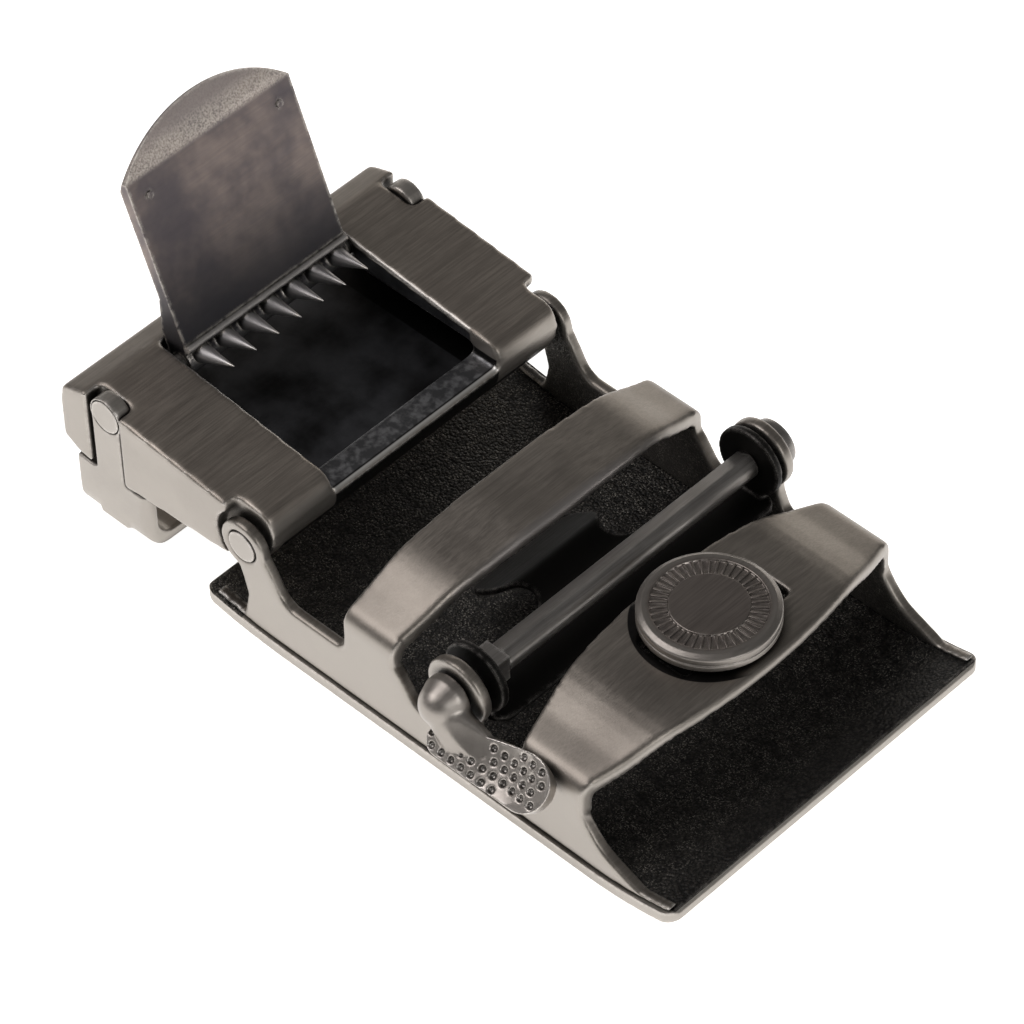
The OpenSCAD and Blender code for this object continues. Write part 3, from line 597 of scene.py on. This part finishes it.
# %% The metals
COVER_METAL = gunmetal(
    "cover_gunmetal", (0.335, 0.296, 0.255), (0.14, 0.121, 0.103), (0.76, 0.73, 0.69), wear=1.5,
    # Painted shade: the hollow and the window inside the cover are painted black, with a mottled grey over
    # the window
    zones=[(boxes(HOLLOW_SHADE), SHADE_BLACK, 1.0),
           (window_shade, SHADE_BLACK, 1.0),
           # Painted highlight on the rounded rim of the window
           (window_rim_highlight, (0.60, 0.57, 0.53), 0.85),
           (mottled(window_shade, 220, 0.22, 0.80), (0.115, 0.117, 0.125), 0.85),
           (boxes(CROSSBAR), (0.085, 0.085, 0.088), 0.95),
           (mottled(boxes(CROSSBAR), 1300, 0.38, 0.68), (0.27, 0.27, 0.275), 0.8),
           # Painted highlight along the crossbar's lip, and painted shade on the face below it
           (boxes(LIP_HIGHLIGHT), (0.86, 0.84, 0.8), 1.0),
           (boxes(SHADE_UNDER_LIP), SHADE_BLACK, 0.95)])
BASE_METAL = gunmetal("loop_gunmetal", (0.40, 0.37, 0.335), (0.2, 0.183, 0.165), (0.76, 0.73, 0.69),
                      grain=0.25)
CAP_METAL = gunmetal(
    "cap_gunmetal", (0.23, 0.201, 0.18), (0.12, 0.101, 0.09), (0.50, 0.46, 0.42), roughness=0.32, side_light=0.35,
    patina=0.35, wear=0.5,
    # Painted highlight: the cap's outer ring, past 5.2 mm from its centre, is lighter
    zones=[(distance_from(BUTTON, 5.2, 5.6, (1, 1, 0)), (0.27, 0.248, 0.225), 0.9),
           # Painted shade: the stem under the cap is black
           (boxes(STEM_SHADE), SHADE_BLACK, 1.0)])
FLAP_METAL = gunmetal(
    "flap_gunmetal", (0.27, 0.218, 0.19), (0.12, 0.105, 0.112), (0.70, 0.655, 0.59), stains=1.0, side_light=0.0,
    zones=[(along_axis("Z", 27.5, 17.0), (0.045, 0.044, 0.049), 0.92),
           (mottled(above_fold(-0.2, 0.5), 5200, 0.15, 0.75), (0.62, 0.56, 0.50), 0.85),
           # Painted light: above the fold, where the face leans back, the flap gets a lighter, greyer tone
           (above_fold(1.2, 3.0), (0.27, 0.235, 0.225), 0.85),
           (boxes(TEETH, soft=0.4), (0.47, 0.455, 0.45), 0.9),
           # Painted highlight along the bead at the foot of the flap
           (distance_from(JAW_BEAD, 0.5, 0.3, (1, 0, 1)), (0.62, 0.59, 0.56), 0.8)])
AXLE_METAL = gunmetal("axle_gunmetal", (0.34, 0.32, 0.30), (0.14, 0.13, 0.12), (0.74, 0.71, 0.67),
                      roughness=0.3, side_light=0.0)
LEVER_METAL = gunmetal("lever_gunmetal", (0.42, 0.385, 0.35), (0.2, 0.18, 0.162), (0.76, 0.72, 0.68),
                       roughness=0.3, grain=0.12, side_light=0.2)
RIVET_METAL = gunmetal("rivet_gunmetal", (0.44, 0.415, 0.385), (0.27, 0.25, 0.225), (0.78, 0.75, 0.71),
                       grain=0.3)
# Painted shade: the pawl lies under the bridges, and its near-black colour stands for their shade
PAWL_SHADE = gunmetal("pawl_shaded", (0.016, 0.015, 0.0135), (0.009, 0.008, 0.0075), (0.5, 0.47, 0.44),
                      roughness=0.5, grain=0.3, wear=0.7, side_light=0.0)
print("plated metals:", [metal.name for metal in (COVER_METAL, BASE_METAL, CAP_METAL, FLAP_METAL, AXLE_METAL,
                                                  LEVER_METAL, RIVET_METAL, PAWL_SHADE)])


# %% [markdown]
# ## The black inside
# The inside of the frame and of the face plate has a coarse black coat, with painted glints where a few of
# its grains would catch the light. It stops at the rim, which stays bare metal, and at the outside of the
# walls and bridges.

# %% Frame and tray
INNER_WALL = 18.58
WALL_SPACE = (-30.0, 30.0, INNER_WALL, 1.0, 16.0)
# Places along the strap between which the sparkle fades in
SPARKLE_END = (27.4, 22.5)
COAT_METALLIC = 0.4
COAT_ROUGHNESS = 0.42
COAT_BUMP = 0.9
PLATE_BUMP = 0.06


def coat(tree, shader, metal_color, metal_roughness, metal_height, inside):
    """Lays the pebbled coat over a metal where the mask inside is 1."""
    fade = along_axis("X", *SPARKLE_END)(tree)
    pebbles = use_group(tree, PEBBLES, Sparkle=fade)
    tree.links.new(blend(tree, inside, metal_color, pebbles.outputs["Color"]), shader.inputs["Base Color"])
    metallic = math_node(tree, "MULTIPLY_ADD", inside, COAT_METALLIC - METALLIC, METALLIC)
    tree.links.new(metallic, shader.inputs["Metallic"])
    roughness = tree.nodes.new("ShaderNodeMix")
    feed(tree, roughness.inputs[0], inside)
    feed(tree, roughness.inputs[2], metal_roughness)
    roughness.inputs[3].default_value = COAT_ROUGHNESS
    tree.links.new(roughness.outputs[0], shader.inputs["Roughness"])
    height = tree.nodes.new("ShaderNodeMix")
    feed(tree, height.inputs[0], inside)
    feed(tree, height.inputs[2], metal_height)
    feed(tree, height.inputs[3], pebbles.outputs["Height"])
    strength = math_node(tree, "MULTIPLY_ADD", inside, COAT_BUMP, PLATE_BUMP)
    add_relief(tree, shader, height.outputs[0], strength)


def coated_metal(name, light, dark, worn, find_inside, grain=0.4, patina=0.85, zones=()):
    """Plated metal whose inside has the black coat; find_inside adds the mask of the inside to the tree."""
    material = bpy.data.materials.new(name)
    material.use_nodes = True
    tree = material.node_tree
    shader = tree.nodes["Principled BSDF"]
    color, brushed, stained, rubbed = plated_color(tree, light, dark, worn, grain, stains=0.45,
                                                   roughness=0.36, side_light=0.75, patina=patina, wear=1.0,
                                                   zones=zones)
    inside = math_node(tree, "MULTIPLY", find_inside(tree),
                       math_node(tree, "MULTIPLY_ADD", rubbed, -0.85, 1.0, clamp=True))
    coat(tree, shader, color, brushed.outputs["Roughness"], brushed.outputs["Height"], inside)
    return material


def inside_of_frame(tree):
    """Undersides of the bridges and inner faces of the walls; edges that face along the strap stay bare."""
    between_walls = zone_mask(tree, WALL_SPACE, 0.1)
    place = tree.nodes.new("ShaderNodeTexCoord")
    split = tree.nodes.new("ShaderNodeSeparateXYZ")
    tree.links.new(place.outputs["Normal"], split.inputs[0])
    under = ramp(tree, split.outputs["Z"], -0.2, -0.6)
    across = ramp(tree, math_node(tree, "ABSOLUTE", split.outputs["Y"]), 0.6, 0.85)
    not_top = ramp(tree, split.outputs["Z"], 0.4, 0.15)
    faces = math_node(tree, "MAXIMUM", under, math_node(tree, "MULTIPLY", across, not_top))
    return math_node(tree, "MULTIPLY", between_walls, faces)


def cap_shadow(tree):
    """Painted shadow under the button cap: black on the ground within its ring, on the near side only."""
    ring = distance_from(BUTTON, CAP_SHADOW_RADIUS + 0.1, CAP_SHADOW_RADIUS, (1, 1, 0))(tree)
    near = math_node(tree, "MULTIPLY", ring, along_axis("Y", -1.5, -3.5)(tree))
    return math_node(tree, "MULTIPLY", near, ramp(tree, facing_z(tree), 0.5, 0.8))


def top_of_tray(tree):
    """The upper face of the plate, less the rims beside the walls, which stay bare metal."""
    black = boxes(BETWEEN_WALLS, PAST_THE_WALLS)(tree)
    return math_node(tree, "MULTIPLY", black, ramp(tree, facing_z(tree), 0.80, 0.90))


FRAME_METAL = coated_metal(
    "frame_gunmetal", (0.31, 0.279, 0.243), (0.135, 0.118, 0.102), (0.76, 0.73, 0.69), inside_of_frame,
    zones=[(boxes(BUTTON_GROUND, soft=5.0), (0.15, 0.136, 0.12), 0.75),
           # Painted shadow under the button cap
           (cap_shadow, SHADE_BLACK, 1.0),
           (boxes(BRIDGE_EDGE, soft=0.8), (0.46, 0.43, 0.42), 0.6),
           (boxes(STRIP_END), (0.06, 0.055, 0.05), 0.9)])
TRAY_BLACK = coated_metal("tray_black", (0.42, 0.39, 0.35), (0.28, 0.258, 0.23), (0.76, 0.72, 0.67),
                          top_of_tray, grain=0.3, patina=0.3)
print("coated metals:", [metal.name for metal in (FRAME_METAL, TRAY_BLACK)])


# %% [markdown]
# ## Soft edges on the solids
# A CAD solid has razor edges, which no casting has. The turned and pressed pieces are copied, their loose
# triangles are merged, and a bevel rounds each sharp edge. The castings are copied too, and then rebuilt
# from small voxels and smoothed, which rounds their edges and corners as sand and polishing do. Before that,
# the edges that a strap and hands rub get a bevel of their own, and after it the neck of the lever is
# smoothed once more. The flap is the one piece that is cut: a slant takes a wedge off above its fold.


def deselect_all():
    bpy.ops.object.select_all(action="DESELECT")


def select_only(piece):
    deselect_all()
    piece.select_set(True)
    bpy.context.view_layer.objects.active = piece


def triangle_count(piece):
    return sum(len(face.vertices) - 2 for face in piece.data.polygons)


# Corners of the loose triangles that are nearer than this, in metres, become one
MERGE_DISTANCE = 2e-6


def copy_solid(node, name):
    """Copy of a node's solid at the same place, with its loose triangles merged."""
    select_only(frame["nodes"][node])
    bpy.ops.object.duplicate()
    piece = bpy.context.active_object
    piece.name = name
    piece.data.name = name
    bpy.ops.object.parent_clear(type="CLEAR_KEEP_TRANSFORM")
    bpy.ops.object.mode_set(mode="EDIT")
    bpy.ops.mesh.customdata_custom_splitnormals_clear()
    bpy.ops.mesh.select_all(action="SELECT")
    bpy.ops.mesh.remove_doubles(threshold=MERGE_DISTANCE)
    bpy.ops.object.mode_set(mode="OBJECT")
    return piece


def apply_modifier(piece, kind, **settings):
    modifier = piece.modifiers.new(kind.lower(), kind)
    for key, value in settings.items():
        setattr(modifier, key, value)
    bpy.ops.object.modifier_apply(modifier=modifier.name)


ALL_SMOOTH = 180


def dress(piece, node, body, material, smooth_angle):
    """Shades a copy, gives it its metal, and lets it ride on its body in place of its solid."""
    bpy.ops.object.shade_smooth_by_angle(angle=math.radians(smooth_angle))
    if smooth_angle < ALL_SMOOTH:
        apply_modifier(piece, "WEIGHTED_NORMAL", keep_sharp=True, weight=100)
    piece.data.materials.clear()
    piece.data.materials.append(material)
    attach(piece, body)
    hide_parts(node)
    print(piece.name, triangle_count(piece), "triangles")
    return piece


# Turn in degrees past which an edge is sharp, and under which two faces count as one
SHARP = 30.0
SAME_FACE = 0.4
BEVEL_STEPS = 2


def turned_copy(node, name, body, material, width):
    """Copy with bevelled edges, for turned and pressed pieces."""
    piece = copy_solid(node, name)
    bpy.ops.object.mode_set(mode="EDIT")
    bpy.ops.mesh.select_all(action="SELECT")
    bpy.ops.mesh.dissolve_limited(angle_limit=math.radians(SAME_FACE))
    bpy.ops.object.mode_set(mode="OBJECT")
    apply_modifier(piece, "BEVEL", width=width, segments=BEVEL_STEPS, limit_method="ANGLE",
                   angle_limit=math.radians(SHARP), use_clamp_overlap=False)
    return dress(piece, node, body, material, SHARP)


BRIDGE_LOW = 8.6
WINDOW_REACH = 10.6
ON_LINE = 0.5


def on_bridge(edge, steep, level):
    """Upper edges of the bridges that face along +X, where hands and strap rub them round."""
    above = min(vertex.co.z for vertex in edge.verts) > BRIDGE_LOW * MM
    inside = max(abs(vertex.co.y) for vertex in edge.verts) < INNER_WALL * MM
    return above and inside and level.z > 0.6 and steep.x > 0.5 and abs(steep.z) < 0.3


def on_window(edge, steep, level):
    """Upper edges of the cover's window that run along the strap."""
    beside = all(abs(abs(vertex.co.y) - WINDOW_REACH * MM) < ON_LINE * MM for vertex in edge.verts)
    return beside and level.z > 0.6 and steep.y * edge.verts[0].co.y < 0 and abs(steep.y) > 0.9


def round_edges(piece, choose, width):
    """Bevels the sharp edges that a choice of its own picks out, by the two faces beside each of them."""
    bpy.ops.object.mode_set(mode="EDIT")
    bpy.ops.mesh.select_mode(type="EDGE")
    bpy.ops.mesh.select_all(action="DESELECT")
    mesh = bmesh.from_edit_mesh(piece.data)
    for edge in mesh.edges:
        if len(edge.link_faces) == 2:
            steep, level = sorted((face.normal for face in edge.link_faces), key=lambda normal: normal.z)
            edge.select = choose(edge, steep, level)
    bmesh.update_edit_mesh(piece.data)
    chosen = sum(edge.select for edge in mesh.edges)
    bpy.ops.mesh.bevel(offset=width, segments=4, affect="EDGES", clamp_overlap=True)
    bpy.ops.object.mode_set(mode="OBJECT")
    print(piece.name, chosen, "edges rounded")


# Which edges of a casting are worn, and the width of their bevel
WORN_EDGES = {"back_frame": (on_bridge, 0.7 * MM), "clamp_cover": (on_window, 1.1 * MM)}


def soften(piece, centre, reach, passes):
    """Smooths the skin around a point, more the nearer it is, so that a crease becomes a fillet."""
    group = piece.vertex_groups.new(name="fillet")
    for vertex in piece.data.vertices:
        share = 1.0 - (vertex.co - centre * MM).length / (reach * MM)
        if share > 0:
            group.add([vertex.index], min(1.0, 2.0 * share), "REPLACE")
    apply_modifier(piece, "SMOOTH", factor=0.5, iterations=passes, vertex_group="fillet")
    piece.vertex_groups.remove(piece.vertex_groups["fillet"])


# Centre and reach of a fillet in millimetres, and its number of smoothing passes
FILLETS = {"thumb_lever": (Vector((5.4, -22.2, 11.2)), 3.1, 90)}


def cast_copy(node, name, body, material, voxel, passes):
    """Copy rebuilt from voxels and smoothed, for castings."""
    piece = copy_solid(node, name)
    if node in WORN_EDGES:
        round_edges(piece, *WORN_EDGES[node])
    apply_modifier(piece, "REMESH", mode="VOXEL", voxel_size=voxel, adaptivity=0.0)
    apply_modifier(piece, "SMOOTH", factor=0.5, iterations=passes)
    if node in FILLETS:
        soften(piece, *FILLETS[node])
    return dress(piece, node, body, material, ALL_SMOOTH)


FLAP_FACE = 1.5
FOLD_SLANT = math.radians(6)
FACE_PLAY = 0.05


def flap_copy(node, name, body, material, width):
    """Copy of the flap whose front slopes back above a fold; a slanted cut takes that wedge off."""
    piece = copy_solid(node, name)
    fold_point = (JAW_AXIS + FLAP_UP * FOLD_HEIGHT + FLAP_FRONT * FLAP_FACE) * MM
    slant = FLAP_FRONT * math.cos(FOLD_SLANT) + FLAP_UP * math.sin(FOLD_SLANT)
    bpy.ops.object.mode_set(mode="EDIT")
    bpy.ops.mesh.select_mode(type="FACE")
    bpy.ops.mesh.select_all(action="DESELECT")
    mesh = bmesh.from_edit_mesh(piece.data)
    for face in mesh.faces:
        reach = max((vertex.co - fold_point).dot(FLAP_FRONT) for vertex in face.verts)
        face.select = reach < FACE_PLAY * MM
    bmesh.update_edit_mesh(piece.data)
    bpy.ops.mesh.bisect(plane_co=fold_point, plane_no=slant, use_fill=True, clear_outer=True)
    bpy.ops.mesh.select_all(action="SELECT")
    bpy.ops.mesh.dissolve_limited(angle_limit=math.radians(SAME_FACE))
    bpy.ops.mesh.select_mode(type="VERT")
    bpy.ops.object.mode_set(mode="OBJECT")
    apply_modifier(piece, "BEVEL", width=width, segments=BEVEL_STEPS, limit_method="ANGLE",
                   angle_limit=math.radians(SHARP), use_clamp_overlap=True)
    return dress(piece, node, body, material, SHARP)


# %% [markdown]
# ## The thirteen pieces
# Each row names a solid, the piece that stands for it, the body that it rides on and its finish. A piece with
# fine detail, such as the dimpled lever, gets small voxels and few passes, and a broad casting gets larger
# ones, so that all the pieces together stay light enough to export.

# %% Dress every solid
# Node, name of the copy, body, material, voxel and smoothing passes
CASTINGS = [
    ("back_frame", "cast_frame", "frame", FRAME_METAL, 0.2 * MM, 14),
    ("clamp_cover", "cast_cover", "clamp", COVER_METAL, 0.24 * MM, 14),
    ("clamp_base", "cast_loop", "clamp", BASE_METAL, 0.15 * MM, 16),
    ("thumb_lever", "dimpled_lever", "pawl", LEVER_METAL, 0.09 * MM, 5),
    ("pawl_plate", "bent_pawl", "pawl", PAWL_SHADE, 0.125 * MM, 9),
]
# Node, name of the copy, body, material and bevel
TURNED = [
    ("face_plate", "pressed_tray", "frame", TRAY_BLACK, 0.12 * MM),
    ("button_cap", "ribbed_cap", "frame", CAP_METAL, 0.05 * MM),
    ("pawl_shaft", "axle", "pawl", AXLE_METAL, 0.1 * MM),
    ("jaw_pin_near", "jaw_rivet_near", "clamp", RIVET_METAL, 0.12 * MM),
    ("jaw_pin_far", "jaw_rivet_far", "clamp", RIVET_METAL, 0.12 * MM),
    ("ear_pin_near", "ear_rivet_near", "frame", RIVET_METAL, 0.12 * MM),
    ("ear_pin_far", "ear_rivet_far", "frame", RIVET_METAL, 0.12 * MM),
]
for casting in CASTINGS:
    cast_copy(*casting)
for turned in TURNED:
    turned_copy(*turned)
flap_copy("jaw_flap", "toothed_flap", "jaw", FLAP_METAL, 0.05 * MM)
